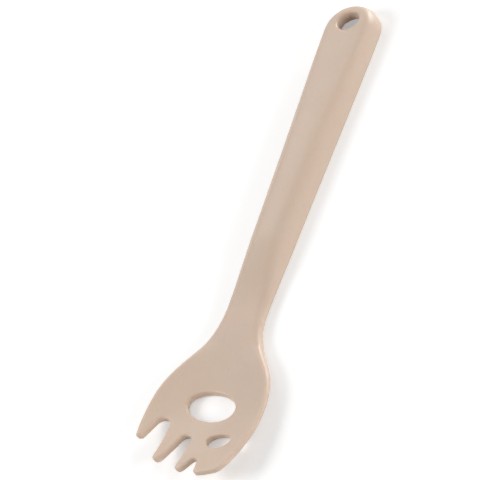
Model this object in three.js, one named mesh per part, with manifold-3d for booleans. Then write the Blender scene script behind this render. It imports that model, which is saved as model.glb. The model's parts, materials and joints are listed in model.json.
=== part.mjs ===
// A serving spork moulded in one from bamboo fibre. Millimetres, +Z up.
// It lies face up on z = 0, tines towards -Y, hanging eye towards +Y.
// The origin is under the middle of its length. Distances "from the front" start at the
// front of the spoon edge and run along +Y to the end of the handle.
import * as THREE from "three";
import { mergeVertices } from "three/addons/utils/BufferGeometryUtils.js";
import Module from "manifold-3d";

// Outline
const overallLength = 264;
const headWidth = 58.4;
const frontBulge = 0.8; // the front line before the slots are cut, ahead of the spoon edge
const frontPull = 17; // how far the front line stays nearly straight from the middle
const cornerPull = 6; // how far the side stays nearly straight towards the front corner
const sideInset = 5.5; // where the front corner ends, in from the widest line of the head
const sideFromFront = 4.2;
const sideLean = 21.6; // degrees, the side against the length where the corner ends
const widestFromFront = 31.6;
const shoulderPull = 29.9; // how far the shoulder holds the width of the head
const neckPull = 26.8; // how far the shoulder holds the width of the neck
const neckWidth = 20.5;
const neckFromFront = 87.8;
const gripPull = 44; // how far the grip holds the width of the neck
const endPull = 28; // how far the grip holds the width of its end
const handleEndWidth = 28.8;
const endCapLength = 15;

// Thicknesses and rounding
const plateThickness = 3.5; // the head
const neckThickness = 6;
const gripThickness = 10.4;
const eyeThickness = 10.2; // the end of the handle
const gripCrown = 1.2; // extra height along the middle of the grip
const gripFromFront = 123.8; // the full grip section starts here
const eyeTaperLength = 80; // the grip turns into the end of the handle over this length
const headTopEdge = 1; // width of the rounding along the top of the rim
const neckTopEdge = 3.1;
const neckUnderEdge = 2;
const neckEdgeHeight = 1.6; // height of the widest line above the underside
const gripTopEdge = 7;
const eyeTopEdge = 5;
const gripUnderEdge = 1.2;
const gripEdgeHeight = 1.2;

// Bowl
const bowlLowFromFront = 38.2;
const frontSweepRadius = 101.5; // side-view curve of the front of the bowl
const frontDishRadius = 68; // cross-section curve at the front edge
const backDishRadius = 136; // cross-section curve at the back of the bowl
const dishFadeStart = 59.7;
const dishEnd = 70.7;
const neckLift = 0.5; // the neck clears the table by this much

// Holes
const cutRimRadius = 0.6; // rounding round the drain holes, the slots and the tines
const eyeDiameter = 11;
const eyeInset = 12.6; // centre of the eye from the end of the handle
const eyeRimRadius = 1.2;
const drainWidth = 25.3;
const drainLength = 14.6;
const drainFromFront = 37;
const drainOffset = 0.6; // centre to the right of the middle
const drainTilt = -10.5; // degrees
const smallDrainWidth = 12.6;
const smallDrainLength = 7.2;
const smallDrainFromFront = 18.7;
const smallDrainInset = 17.1; // centre from the right-hand side of the head
const smallDrainTilt = -1.6; // degrees

// Hollow under the grip
const hollowDepth = 3.8;
const hollowFromFront = 140;
const hollowFrontWidth = 14.6;
const hollowRimWidth = 3; // flat rim beside and behind the hollow at the end of the handle
const hollowRimRadius = 0.8;
const hollowFloorRadius = 1.2;

// Slots and tines: round slot roots and round tine tips joined by straight flanks
const tineTipRadius = 1.85;
const firstTipLean = -60; // degrees, the way the cut comes in past the outer side of the first tip
const firstTipInset = 2.45; // centre of the first tine tip from the left-hand side
const secondTipSpacing = 13.2;
const thirdTipSpacing = 12.85;
const firstTipFromFront = 19.3;
const secondTipFromFront = 8.2;
const thirdTipFromFront = 4;
const spoonCornerRadius = 2.2;
const spoonCornerSpacing = 11;
const spoonFrontLean = 5; // degrees, the front of the spoon edge against the width
const firstSlotInset = 10.1; // centre of the first slot root from the left-hand side
const secondSlotSpacing = 13.85;
const thirdSlotSpacing = 10.1;
const firstSlotFromFront = 25.9;
const secondSlotFromFront = 18.8;
const thirdSlotFromFront = 6.9;
const firstSlotRadius = 3.55;
const secondSlotRadius = 2.9;
const thirdSlotRadius = 1.95;

// Where the regions of the moulding meet
const bowlLength = 65;
const neckLength = 37;
const eyeLength = 26;

// Mesh fineness
const edgeSteps = 8;
const widthSteps = 12;
const outlineSteps = { front: 6, side: 8, shoulder: 14, handle: 14, end: 8 };
const ovalSteps = 40;
const tineArcSteps = 8;
const flankSteps = 5;
const rimSteps = 3;
const rimTurn = 60; // degrees of rounding before a rim runs straight out through the face
const rimPast = 0.1; // how far a rim is carried past the face

const cutMargin = 6; // how far a cutter stands out of the moulding
const cutReach = 12; // how far the gap in front of the tines runs on past the head
const material = new THREE.MeshStandardMaterial({ color: 0xd3c1b3, roughness: 0.55, metalness: 0 });

const { lerp, smoothstep, degToRad, clamp, euclideanModulo } = THREE.MathUtils;
const headHalf = headWidth / 2;
const sideHalf = headHalf - sideInset;
const endHalf = handleEndWidth / 2;
const eyeFromFront = overallLength - eyeInset;
const capStart = overallLength - endCapLength;

// Right-hand outline from the middle of the front line to the middle of the handle end.
function outlineCurves() {
  const neckHalf = neckWidth / 2;
  const point = (x, y) => new THREE.Vector2(x, y);
  const lean = degToRad(sideLean);
  const cornerEnd = point(sideHalf, sideFromFront);
  const corner = point(sideHalf - cornerPull * Math.sin(lean), sideFromFront - cornerPull * Math.cos(lean));
  const sideControl = point(headHalf, sideFromFront + sideInset / Math.tan(lean));
  const widest = point(headHalf, widestFromFront);
  const neck = point(neckHalf, neckFromFront);
  return {
    front: new THREE.CubicBezierCurve(
      point(0, -frontBulge),
      point(frontPull, -frontBulge),
      corner,
      cornerEnd,
    ),
    side: new THREE.QuadraticBezierCurve(cornerEnd, sideControl, widest),
    shoulder: new THREE.CubicBezierCurve(
      widest,
      point(headHalf, widestFromFront + shoulderPull),
      point(neckHalf, neckFromFront - neckPull),
      neck,
    ),
    handle: new THREE.CubicBezierCurve(
      neck,
      point(neckHalf, neckFromFront + gripPull),
      point(endHalf, capStart - endPull),
      point(endHalf, capStart),
    ),
    end: new THREE.EllipseCurve(0, capStart, endHalf, endCapLength, 0, Math.PI / 2),
  };
}

function outlineStations() {
  const stations = [];
  for (const [name, curve] of Object.entries(outlineCurves())) {
    const steps = outlineSteps[name];
    for (let i = stations.length ? 1 : 0; i <= steps; i++) {
      const place = curve.getPoint(i / steps);
      const along = curve.getTangent(i / steps);
      stations.push({ place, outward: new THREE.Vector2(along.y, -along.x) });
    }
  }
  stations[0].outward.set(0, -1);
  stations[0].place.x = 0;
  stations.at(-1).outward.set(0, 1);
  stations.at(-1).place.x = 0;
  return stations;
}

// How far along each change of section has gone, from 0 to 1.
const toNeck = (y) => smoothstep(y, widestFromFront, neckFromFront);
const toGrip = (y) => smoothstep(y, neckFromFront, gripFromFront);
const toEye = (y) => smoothstep(y, eyeFromFront - eyeTaperLength, eyeFromFront);

function alongLength(head, neck, grip, eye, y) {
  return lerp(lerp(lerp(head, neck, toNeck(y)), grip, toGrip(y)), eye, toEye(y));
}

const rimHalf = plateThickness / 2;
const thicknessAt = (y) => alongLength(plateThickness, neckThickness, gripThickness, eyeThickness, y);
const crownAt = (y) => alongLength(0, 0, gripCrown, 0, y);
const topEdgeAt = (y) => alongLength(headTopEdge, neckTopEdge, gripTopEdge, eyeTopEdge, y);
const underEdgeAt = (y) => alongLength(rimHalf, neckUnderEdge, gripUnderEdge, gripUnderEdge, y);
const edgeHeightAt = (y) => alongLength(rimHalf, neckEdgeHeight, gripEdgeHeight, gripEdgeHeight, y);

// Heights of the underside and of the top over a point of the plan.
function underAt(x, y) {
  const sweep = Math.max(bowlLowFromFront - y, 0) ** 2 / (2 * frontSweepRadius);
  const lift = neckLift * smoothstep(y, bowlLowFromFront, neckFromFront) * (1 - toGrip(y));
  const back = clamp(y / dishFadeStart, 0, 1);
  const curve = lerp(1 / frontDishRadius, 1 / backDishRadius, back) / 2;
  const dish = curve * x * x * (1 - smoothstep(y, dishFadeStart, dishEnd));
  return sweep + lift + dish;
}

const topAt = (x, y) => underAt(x, y) + thicknessAt(y);
const placed = (x, y, z) => new THREE.Vector3(x, y - overallLength / 2, z);

// One closed section. Its turn runs from -90 degrees under the rim, through 0 at the widest line,
// to 90 degrees on top of the rim.
function section({ place, outward }) {
  const points = [];
  const add = (side, inset, level) => {
    const x = side * (place.x - outward.x * inset);
    const y = place.y - outward.y * inset;
    const edge = edgeHeightAt(y);
    const above = level > 0 ? (thicknessAt(y) - edge) * level : edge * level;
    const across = place.x > 0 ? x / place.x : 0;
    const crown = crownAt(y) * Math.max(level, 0) * (1 - across * across);
    points.push(placed(x, y, underAt(x, y) + edge + above + crown));
  };
  const insetAt = (level) => (level > 0 ? topEdgeAt(place.y) : underEdgeAt(place.y));
  const rim = (side, turn) => add(side, insetAt(turn) * (1 - Math.cos(turn)), Math.sin(turn));
  const flat = (side, level) => {
    for (let i = 1; i < widthSteps; i++) add(side * (1 - (2 * i) / widthSteps), insetAt(level), level);
  };
  const quarter = Math.PI / 2;
  for (let i = -edgeSteps; i <= edgeSteps; i++) rim(1, (quarter * i) / edgeSteps);
  flat(1, 1);
  for (let i = edgeSteps; i >= -edgeSteps; i--) rim(-1, (quarter * i) / edgeSteps);
  flat(-1, -1);
  return points;
}

// Closed rings of equal length joined one to the next.
function ringSides(rings, around) {
  const index = [];
  for (let ring = 0; ring + 1 < rings; ring++) {
    for (let i = 0; i < around; i++) {
      const a = ring * around + i;
      const b = ring * around + ((i + 1) % around);
      index.push(a, b, a + around, b, b + around, a + around);
    }
  }
  return index;
}

const wasm = await Module();
wasm.setup();

function solid(points, index) {
  const skin = mergeVertices(new THREE.BufferGeometry().setFromPoints(points).setIndex(index));
  const corners = skin.index.array;
  const kept = [];
  for (let i = 0; i < corners.length; i += 3) {
    const [a, b, c] = corners.slice(i, i + 3);
    if (a !== b && b !== c && c !== a) kept.push(a, b, c);
  }
  const mesh = new wasm.Mesh({
    numProp: 3,
    vertProperties: new Float32Array(skin.attributes.position.array),
    triVerts: new Uint32Array(kept),
  });
  return new wasm.Manifold(mesh);
}

// The whole moulding before its holes and slots, as a skin over the sections.
function blank() {
  const sections = outlineStations().map(section).reverse();
  return solid(sections.flat(), ringSides(sections.length, sections[0].length));
}

// A cutter from rings that stand one over the other. outlineAt(growth) gives the same corners
// anticlockwise for every growth, and each ring has a growth and a height over the plan.
function cutter(outlineAt, rings) {
  const layers = rings.map(({ growth, height }) =>
    outlineAt(growth).map(({ x, y }) => placed(x, y, height(x, y))),
  );
  const around = layers[0].length;
  const index = ringSides(layers.length, around);
  const last = (layers.length - 1) * around;
  const cap = ({ growth }) => THREE.ShapeUtils.triangulateShape(outlineAt(growth), []);
  for (const [a, b, c] of cap(rings[0])) index.push(a, c, b);
  for (const [a, b, c] of cap(rings.at(-1))) index.push(last + a, last + b, last + c);
  return solid(layers.flat(), index);
}

// Steps of a rounded rim, from the bare wall out through the face.
function rimProfile(radius) {
  const full = degToRad(rimTurn);
  const steps = [];
  for (let i = 0; i <= rimSteps; i++) {
    const turn = (full * i) / rimSteps;
    steps.push({ growth: radius * (1 - Math.cos(turn)), depth: radius * (1 - Math.sin(turn)) });
  }
  const { growth, depth } = steps.at(-1);
  const mouth = growth + (depth + rimPast) * Math.tan(full);
  steps.push({ growth: mouth, depth: -rimPast }, { growth: mouth, depth: -cutMargin });
  return steps;
}

// A hole or slot through the wall with a rounded rim on both faces.
function throughCut(outlineAt, rimRadius, floorAt) {
  const rim = rimProfile(rimRadius);
  const under = rim.map(({ growth, depth }) => ({ growth, height: (x, y) => floorAt(x, y) + depth }));
  const top = rim.map(({ growth, depth }) => ({ growth, height: (x, y) => topAt(x, y) - depth }));
  return cutter(outlineAt, [...under.reverse(), ...top]);
}

function ovalOutline(x, y, width, length, tilt) {
  return (growth) => {
    const oval = new THREE.EllipseCurve(x, y, width / 2 + growth, length / 2 + growth);
    oval.aRotation = degToRad(tilt);
    return oval.getPoints(ovalSteps).slice(0, -1);
  };
}

// The hollow under the grip: two rounds joined by their tangents, with a rounded floor and mouth.
function hollowCut() {
  const frontRadius = hollowFrontWidth / 2;
  const backRadius = endHalf - hollowRimWidth;
  const frontY = hollowFromFront + frontRadius;
  const backY = overallLength - hollowRimWidth - backRadius;
  const lean = Math.asin((backRadius - frontRadius) / (backY - frontY));
  const outlineAt = (growth) => {
    const front = new THREE.EllipseCurve(0, frontY, frontRadius + growth, frontRadius + growth);
    front.aStartAngle = Math.PI + lean;
    front.aEndAngle = 2 * Math.PI - lean;
    const back = new THREE.EllipseCurve(0, backY, backRadius + growth, backRadius + growth);
    back.aStartAngle = -lean;
    back.aEndAngle = Math.PI + lean;
    return [...front.getPoints(ovalSteps / 2), ...back.getPoints(ovalSteps / 2)];
  };
  const mouth = rimProfile(hollowRimRadius).map(({ growth, depth }) => ({ growth, height: () => depth }));
  const floor = [];
  for (let i = 0; i <= rimSteps; i++) {
    const turn = ((Math.PI / 2) * i) / rimSteps;
    const height = hollowDepth - hollowFloorRadius * (1 - Math.sin(turn));
    floor.push({ growth: -hollowFloorRadius * (1 - Math.cos(turn)), height: () => height });
  }
  return cutter(outlineAt, [...mouth.reverse(), ...floor]);
}

const firstSlotX = firstSlotInset - headHalf;
const secondSlotX = firstSlotX + secondSlotSpacing;
const thirdSlotX = secondSlotX + thirdSlotSpacing;
const firstTipX = firstTipInset - headHalf;
const secondTipX = firstTipX + secondTipSpacing;
const thirdTipX = secondTipX + thirdTipSpacing;
const spoonCornerX = thirdTipX + spoonCornerSpacing;

// The gap in front of the tines, drawn from left to right round each tip and root in turn.
function combOutline(growth) {
  const tip = (x, y, radius) => ({ x, y, radius: radius - growth, side: -Math.PI / 2 });
  const root = (x, y, radius) => ({ x, y, radius: radius + growth, side: Math.PI / 2 });
  const circles = [
    tip(firstTipX, firstTipFromFront, tineTipRadius),
    root(firstSlotX, firstSlotFromFront, firstSlotRadius),
    tip(secondTipX, secondTipFromFront, tineTipRadius),
    root(secondSlotX, secondSlotFromFront, secondSlotRadius),
    tip(thirdTipX, thirdTipFromFront, tineTipRadius),
    root(thirdSlotX, thirdSlotFromFront, thirdSlotRadius),
    tip(spoonCornerX, spoonCornerRadius, spoonCornerRadius),
  ];
  const entry = degToRad(firstTipLean);
  const headings = [entry];
  for (let i = 0; i + 1 < circles.length; i++) {
    const [from, to] = [circles[i], circles[i + 1]];
    const apart = Math.hypot(to.x - from.x, to.y - from.y);
    const lean = Math.asin((from.radius + to.radius) / apart);
    headings.push(Math.atan2(to.y - from.y, to.x - from.x) - Math.sign(from.side) * lean);
  }
  const exit = degToRad(spoonFrontLean);
  headings.push(exit);

  const touch = ({ x, y, radius, side }, heading) =>
    new THREE.Vector2(x + radius * Math.cos(heading + side), y + radius * Math.sin(heading + side));
  const runOut = (from, heading) =>
    new THREE.Vector2(from.x + cutReach * Math.cos(heading), from.y + cutReach * Math.sin(heading));
  const points = [];
  const lineTo = (end) => {
    const start = points.at(-1);
    for (let i = 1; i <= flankSteps; i++) points.push(start.clone().lerp(end, i / flankSteps));
  };
  points.push(runOut(touch(circles[0], entry), entry + Math.PI));
  circles.forEach((circle, i) => {
    const [from, to] = [headings[i], headings[i + 1]];
    const turn = euclideanModulo(to - from + Math.PI, 2 * Math.PI) - Math.PI;
    lineTo(touch(circle, from));
    for (let j = 1; j <= tineArcSteps; j++) points.push(touch(circle, from + (turn * j) / tineArcSteps));
  });
  lineTo(runOut(points.at(-1), exit));
  points.push(new THREE.Vector2(points.at(-1).x, -cutMargin));
  points.push(new THREE.Vector2(points[0].x, -cutMargin));
  return points.reverse();
}

function block(left, right, front, back) {
  const outline = [
    new THREE.Vector2(left, front),
    new THREE.Vector2(right, front),
    new THREE.Vector2(right, back),
    new THREE.Vector2(left, back),
  ];
  const rings = [-cutMargin, headHalf].map((z) => ({ growth: 0, height: () => z }));
  return cutter(() => outline, rings);
}

const drain = ovalOutline(drainOffset, drainFromFront, drainWidth, drainLength, drainTilt);
const smallDrainX = headHalf - smallDrainInset;
const smallDrain = ovalOutline(
  smallDrainX,
  smallDrainFromFront,
  smallDrainWidth,
  smallDrainLength,
  smallDrainTilt,
);
const eye = ovalOutline(0, eyeFromFront, eyeDiameter, eyeDiameter, 0);
const moulding = blank()
  .subtract(hollowCut())
  .subtract(throughCut(eye, eyeRimRadius, () => hollowDepth))
  .subtract(throughCut(drain, cutRimRadius, underAt))
  .subtract(throughCut(smallDrain, cutRimRadius, underAt))
  .subtract(throughCut(combOutline, cutRimRadius, underAt));

// The regions of the moulding, each cut square across where it meets its neighbour.
const left = -headHalf - cutMargin;
const right = headHalf + cutMargin;
const tineBlocks = {
  tine_1: block(left, firstSlotX, -cutMargin, firstSlotFromFront),
  tine_2: block(firstSlotX, secondSlotX, -cutMargin, secondSlotFromFront),
  tine_3: block(secondSlotX, thirdSlotX, -cutMargin, thirdSlotFromFront),
  spoon_edge: block(thirdSlotX, right, -cutMargin, thirdSlotFromFront),
};
const handleStart = bowlLength + neckLength;
const eyeStart = overallLength - eyeLength;
const headBlock = block(left, right, -cutMargin, bowlLength);
const regions = {
  hanging_eye: block(left, right, eyeStart, overallLength + cutMargin),
  handle: block(left, right, handleStart, eyeStart),
  neck: block(left, right, bowlLength, handleStart),
  bowl: Object.values(tineBlocks).reduce((rest, tine) => rest.subtract(tine), headBlock),
  ...tineBlocks,
};

const spork = new THREE.Group();
for (const [name, region] of Object.entries(regions)) {
  const { numProp, vertProperties, triVerts } = moulding.intersect(region).getMesh();
  const buffer = new THREE.InterleavedBuffer(vertProperties, numProp);
  const geometry = new THREE.BufferGeometry();
  geometry.setAttribute("position", new THREE.InterleavedBufferAttribute(buffer, 3, 0));
  geometry.setIndex(new THREE.BufferAttribute(triVerts, 1));
  geometry.computeVertexNormals();
  const mesh = new THREE.Mesh(geometry, material);
  mesh.name = name;
  spork.add(mesh);
}

export default spork;
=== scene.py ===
import json
import math

import bpy
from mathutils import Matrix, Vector

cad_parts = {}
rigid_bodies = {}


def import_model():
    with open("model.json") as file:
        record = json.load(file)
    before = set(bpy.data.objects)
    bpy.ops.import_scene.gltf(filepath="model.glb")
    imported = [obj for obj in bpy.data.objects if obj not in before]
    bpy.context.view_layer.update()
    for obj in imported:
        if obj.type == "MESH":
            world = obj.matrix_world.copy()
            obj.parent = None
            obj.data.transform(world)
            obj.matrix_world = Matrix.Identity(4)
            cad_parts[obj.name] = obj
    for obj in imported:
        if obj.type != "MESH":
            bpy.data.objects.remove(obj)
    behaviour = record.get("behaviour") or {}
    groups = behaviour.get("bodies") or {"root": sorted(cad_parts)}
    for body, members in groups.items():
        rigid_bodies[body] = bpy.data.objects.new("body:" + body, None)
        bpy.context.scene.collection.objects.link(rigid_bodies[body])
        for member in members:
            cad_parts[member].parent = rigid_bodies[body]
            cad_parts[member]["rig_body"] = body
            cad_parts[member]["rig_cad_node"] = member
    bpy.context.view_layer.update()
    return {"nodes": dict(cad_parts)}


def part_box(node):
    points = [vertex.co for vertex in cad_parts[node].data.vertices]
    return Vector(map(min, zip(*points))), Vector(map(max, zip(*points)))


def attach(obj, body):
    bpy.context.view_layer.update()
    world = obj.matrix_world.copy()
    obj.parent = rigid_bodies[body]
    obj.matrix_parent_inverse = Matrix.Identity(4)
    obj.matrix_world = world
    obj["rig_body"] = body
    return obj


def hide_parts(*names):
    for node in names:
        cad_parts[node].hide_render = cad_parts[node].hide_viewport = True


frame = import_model()
print("frame loaded:", len(frame["nodes"]), "regions")

regionNames = ["bowl", "tine_1", "tine_2", "tine_3", "spoon_edge", "neck", "handle", "hanging_eye"]

# the whole spork as one seamless moulding, with lengths in metres
mouldingValues = {
    "mergeDistance": 0.00001,
    "seamReach": 0.000005,
    "squareCut": 0.999,   # how nearly a face at a cut looks along the length
    "voxel": 0.0005,
    "smoothing": 0.5,
    "skinPasses": 3,
    "rimRings": 4,        # rings of faces left alone beside a rim
    "faceTilt": 30,       # degrees a broad face may lean
    "facePasses": 120,
    "gripTilt": 80,       # degrees the rounded sides of the grip may lean
    "gripPasses": 40,
}


def pickOnly(*objects):
    bpy.ops.object.select_all(action="DESELECT")
    for item in objects:
        item.select_set(True)
    bpy.context.view_layer.objects.active = objects[0]


def applyModifier(item, name):
    pickOnly(item)
    bpy.ops.object.modifier_apply(modifier=name)


def pickFaces(item, test):
    # faces chosen in object mode are the ones selected back in edit mode
    bpy.ops.object.mode_set(mode="EDIT")
    bpy.ops.mesh.select_mode(type="FACE")
    bpy.ops.mesh.select_all(action="DESELECT")
    bpy.ops.object.mode_set(mode="OBJECT")
    for face in item.data.polygons:
        face.select = test(face)
    bpy.ops.object.mode_set(mode="EDIT")


def joinRegions():
    pickOnly(*[frame["nodes"][name] for name in regionNames])
    bpy.ops.object.duplicate()
    copies = list(bpy.context.selected_objects)
    pickOnly(*copies)
    bpy.ops.object.parent_clear(type="CLEAR")
    bpy.ops.object.join()
    spork = bpy.context.active_object
    spork.name = spork.data.name = "spork_moulding"
    # the joined copy is no longer one of the CAD regions
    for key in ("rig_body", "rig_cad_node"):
        del spork[key]
    # the cuts between regions lie square across the length, at the back of each region
    cuts = [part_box(name)[1].y for name in regionNames if name != "hanging_eye"]
    reach = mouldingValues["seamReach"]
    square = mouldingValues["squareCut"]
    pickFaces(spork, lambda face: abs(face.normal.y) > square
              and min(abs(face.center.y - cut) for cut in cuts) < reach)
    bpy.ops.mesh.delete(type="FACE")
    bpy.ops.mesh.select_all(action="SELECT")
    bpy.ops.mesh.remove_doubles(threshold=mouldingValues["mergeDistance"])
    bpy.ops.object.mode_set(mode="OBJECT")
    return spork


def smoothFaces(spork, test, passes):
    pickFaces(spork, test)
    for ring in range(mouldingValues["rimRings"]):
        bpy.ops.mesh.select_less()
    bpy.ops.mesh.vertices_smooth(factor=mouldingValues["smoothing"], repeat=passes)
    bpy.ops.object.mode_set(mode="OBJECT")


def smoothSkin(spork):
    values = mouldingValues
    remesh = spork.modifiers.new("evenSkin", "REMESH")
    remesh.mode = "VOXEL"
    remesh.voxel_size = values["voxel"]
    applyModifier(spork, "evenSkin")
    bpy.ops.object.mode_set(mode="EDIT")
    bpy.ops.mesh.select_all(action="SELECT")
    bpy.ops.mesh.vertices_smooth(factor=values["smoothing"], repeat=values["skinPasses"])
    bpy.ops.object.mode_set(mode="OBJECT")
    # the broad faces and the rounded sides of the grip are evened out further, away from the rims
    faceLean = math.cos(math.radians(values["faceTilt"]))
    smoothFaces(spork, lambda face: abs(face.normal.z) > faceLean, values["facePasses"])
    gripLean = math.cos(math.radians(values["gripTilt"]))
    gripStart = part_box("neck")[0].y
    smoothFaces(spork, lambda face: face.normal.z > gripLean and face.center.y > gripStart,
                values["gripPasses"])
    bpy.ops.object.shade_smooth()


spork = joinRegions()
print("regions joined:", len(spork.data.polygons), "faces")
smoothSkin(spork)
print("skin smoothed:", len(spork.data.polygons), "faces")

# satin moulded bamboo fibre: soft clouding, and short pale and dark fibres lying two ways
fibreValues = {
    "colour": (0.655, 0.516, 0.407),
    "rosyColour": (0.655, 0.504, 0.4),
    "paleColour": (0.7, 0.57, 0.47),
    "darkColour": (0.5, 0.37, 0.28),
    "cloudSize": 0.014,
    "cloudDetail": 2,
    "cloudSpread": (0.35, 0.65),
    "fibreWidth": 0.0004,
    "fibreLength": 0.002,
    "fibreDetail": 1,
    "fibreSpread": (0.6, 0.75),
    "fibreTurns": (25, -50),    # degrees, the pale fibres and the dark ones
    "fibreShow": (0.3, 0.25),
    "roughness": (0.36, 0.46),
    "depthLight": 0.5,          # share of the light that wanders under the skin
    "depthColour": (1, 0.65, 0.4),
    "depth": 0.003,
    "toothSize": 0.0005,
    "toothDetail": 3,
    "toothSpread": (0.3, 0.7),
    "toothDepth": 0.00002,
    "fibreDepth": 0.00001,
}


def addNoise(tree, size, detail, coordinates):
    noise = tree.nodes.new("ShaderNodeTexNoise")
    noise.inputs["Scale"].default_value = 1 / size
    noise.inputs["Detail"].default_value = detail
    tree.links.new(coordinates, noise.inputs["Vector"])
    return noise.outputs["Fac"]


def addRange(tree, value, low, high, toLow=0.0, toHigh=1.0):
    scale = tree.nodes.new("ShaderNodeMapRange")
    scale.inputs["From Min"].default_value = low
    scale.inputs["From Max"].default_value = high
    scale.inputs["To Min"].default_value = toLow
    scale.inputs["To Max"].default_value = toHigh
    tree.links.new(value, scale.inputs["Value"])
    return scale.outputs["Result"]


def addFibres(tree, coordinates, turn):
    values = fibreValues
    lay = tree.nodes.new("ShaderNodeMapping")
    lay.inputs["Rotation"].default_value = (0, 0, math.radians(turn))
    width = 1 / values["fibreWidth"]
    lay.inputs["Scale"].default_value = (width, 1 / values["fibreLength"], width)
    tree.links.new(coordinates, lay.inputs["Vector"])
    noise = addNoise(tree, 1, values["fibreDetail"], lay.outputs["Vector"])
    return addRange(tree, noise, *values["fibreSpread"])


def addColourMix(tree, share, below, above):
    mix = tree.nodes.new("ShaderNodeMix")
    mix.data_type = "RGBA"
    tree.links.new(share, mix.inputs["Factor"])
    # this node has sockets for every data type, and these are the ones for colour
    lowSocket, highSocket, result = mix.inputs[6], mix.inputs[7], mix.outputs[2]
    for socket, colour in ((lowSocket, below), (highSocket, above)):
        if isinstance(colour, tuple):
            socket.default_value = (*colour, 1)
        else:
            tree.links.new(colour, socket)
    return result


def addBump(tree, height, depth, below=None):
    bump = tree.nodes.new("ShaderNodeBump")
    bump.inputs["Distance"].default_value = depth
    tree.links.new(height, bump.inputs["Height"])
    if below:
        tree.links.new(below, bump.inputs["Normal"])
    return bump.outputs["Normal"]


def makeFibre():
    values = fibreValues
    material = bpy.data.materials.new("bambooFibre")
    material.use_nodes = True
    tree = material.node_tree
    shader = tree.nodes["Principled BSDF"]
    shader.inputs["Subsurface Weight"].default_value = values["depthLight"]
    shader.inputs["Subsurface Radius"].default_value = values["depthColour"]
    shader.inputs["Subsurface Scale"].default_value = values["depth"]
    place = tree.nodes.new("ShaderNodeTexCoord").outputs["Object"]
    clouds = addNoise(tree, values["cloudSize"], values["cloudDetail"], place)
    cloudShare = addRange(tree, clouds, *values["cloudSpread"])
    colour = addColourMix(tree, cloudShare, values["colour"], values["rosyColour"])
    looks = zip(values["fibreTurns"], (values["paleColour"], values["darkColour"]), values["fibreShow"])
    for turn, fibreColour, show in looks:
        fibres = addFibres(tree, place, turn)
        colour = addColourMix(tree, addRange(tree, fibres, 0, 1, 0, show), colour, fibreColour)
    tree.links.new(colour, shader.inputs["Base Color"])
    tooth = addNoise(tree, values["toothSize"], values["toothDetail"], place)
    roughness = addRange(tree, tooth, *values["toothSpread"], *values["roughness"])
    tree.links.new(roughness, shader.inputs["Roughness"])
    grain = addBump(tree, tooth, values["toothDepth"])
    # of the fibres only the dark ones, laid last, stand up from the surface
    tree.links.new(addBump(tree, fibres, values["fibreDepth"], grain), shader.inputs["Normal"])
    return material


spork.data.materials.clear()
spork.data.materials.append(makeFibre())
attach(spork, "root")
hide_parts(*regionNames)
print("moulding finished")

# plain white floor that keeps a soft shadow
floorValues = {
    "size": 8,
    "drop": 0.0002,       # just clear of the underside
    "colour": (0.85, 0.85, 0.85),
    "roughness": 0.9,
    "glow": 0.35,         # added only in what the camera sees, so that the lit floor is white
}


def addViewRays(tree):
    # 1 for what the camera sees, straight or in a reflection
    path = tree.nodes.new("ShaderNodeLightPath")
    total = path.outputs["Is Camera Ray"]
    for name in ("Is Glossy Ray", "Is Transmission Ray"):
        both = tree.nodes.new("ShaderNodeMath")
        both.operation = "MAXIMUM"
        tree.links.new(total, both.inputs[0])
        tree.links.new(path.outputs[name], both.inputs[1])
        total = both.outputs[0]
    return total


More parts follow.
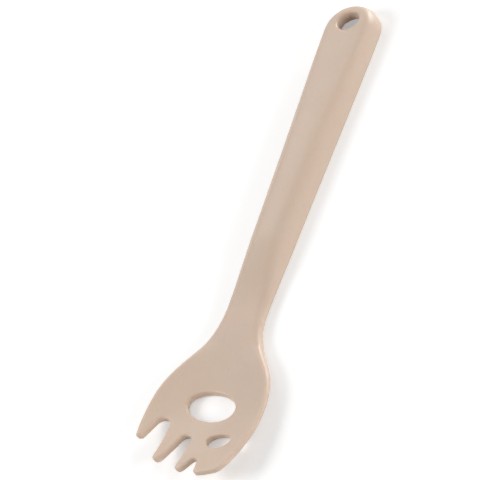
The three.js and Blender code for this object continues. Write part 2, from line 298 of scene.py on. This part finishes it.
def makeFloor():
    bpy.ops.object.select_all(action="DESELECT")
    bpy.ops.mesh.primitive_plane_add(size=floorValues["size"], location=(0, 0, -floorValues["drop"]))
    floor = bpy.context.active_object
    floor.name = "floor"
    bpy.ops.object.transform_apply(location=True, rotation=True, scale=True)
    material = bpy.data.materials.new("paleFloor")
    material.use_nodes = True
    tree = material.node_tree
    shader = tree.nodes["Principled BSDF"]
    shader.inputs["Base Color"].default_value = (*floorValues["colour"], 1)
    shader.inputs["Roughness"].default_value = floorValues["roughness"]
    shader.inputs["Specular IOR Level"].default_value = 0
    shader.inputs["Emission Color"].default_value = (1, 1, 1, 1)
    glow = addRange(tree, addViewRays(tree), 0, 1, 0, floorValues["glow"])
    tree.links.new(glow, shader.inputs["Emission Strength"])
    floor.data.materials.append(material)


makeFloor()

# soft lamps round the spork; turn is degrees from the front towards the right, rise is from the floor
lightValues = {
    "world": 0.22,        # light from all round; the camera sees white instead
    "distance": 1.2,
    "lamps": [
        {"name": "keyLamp", "turn": 298, "rise": 38, "size": 0.7, "power": 8.1},
        {"name": "rightLamp", "turn": 75, "rise": 17, "size": 0.6, "power": 6.9},
        {"name": "backLamp", "turn": 165, "rise": 7, "size": 0.6, "power": 11},
        {"name": "backLeftLamp", "turn": 225, "rise": 42, "size": 0.5, "power": 1.9},
    ],
}


def makeLights():
    world = bpy.data.worlds.new("studio")
    bpy.context.scene.world = world
    world.use_nodes = True
    background = world.node_tree.nodes["Background"]
    background.inputs["Color"].default_value = (1, 1, 1, 1)
    strength = addRange(world.node_tree, addViewRays(world.node_tree), 0, 1, lightValues["world"], 1)
    world.node_tree.links.new(strength, background.inputs["Strength"])
    for lamp in lightValues["lamps"]:
        turn = math.radians(lamp["turn"])
        rise = math.radians(lamp["rise"])
        reach = math.cos(rise)
        towards = Vector((math.sin(turn) * reach, -math.cos(turn) * reach, math.sin(rise)))
        bpy.ops.object.light_add(type="AREA", location=towards * lightValues["distance"])
        light = bpy.context.active_object
        light.name = lamp["name"]
        light.data.shape = "DISK"
        light.data.size = lamp["size"]
        light.data.energy = lamp["power"]
        light.rotation_euler = (-towards).to_track_quat("-Z", "Y").to_euler()


makeLights()

cameraValues = {
    "place": (0.52761, -0.53515, 0.69886),
    "turn": (41.6415, 25.4188, 20.0695),    # degrees
    "view": 12,                             # degrees across the picture
}


def makeCamera():
    turn = [math.radians(angle) for angle in cameraValues["turn"]]
    bpy.ops.object.camera_add(location=cameraValues["place"], rotation=turn)
    camera = bpy.context.active_object
    camera.data.sensor_fit = "HORIZONTAL"
    camera.data.angle = math.radians(cameraValues["view"])
    bpy.context.scene.camera = camera


makeCamera()
bpy.context.scene.view_settings.view_transform = "Standard"
print("stage, lights and camera set")
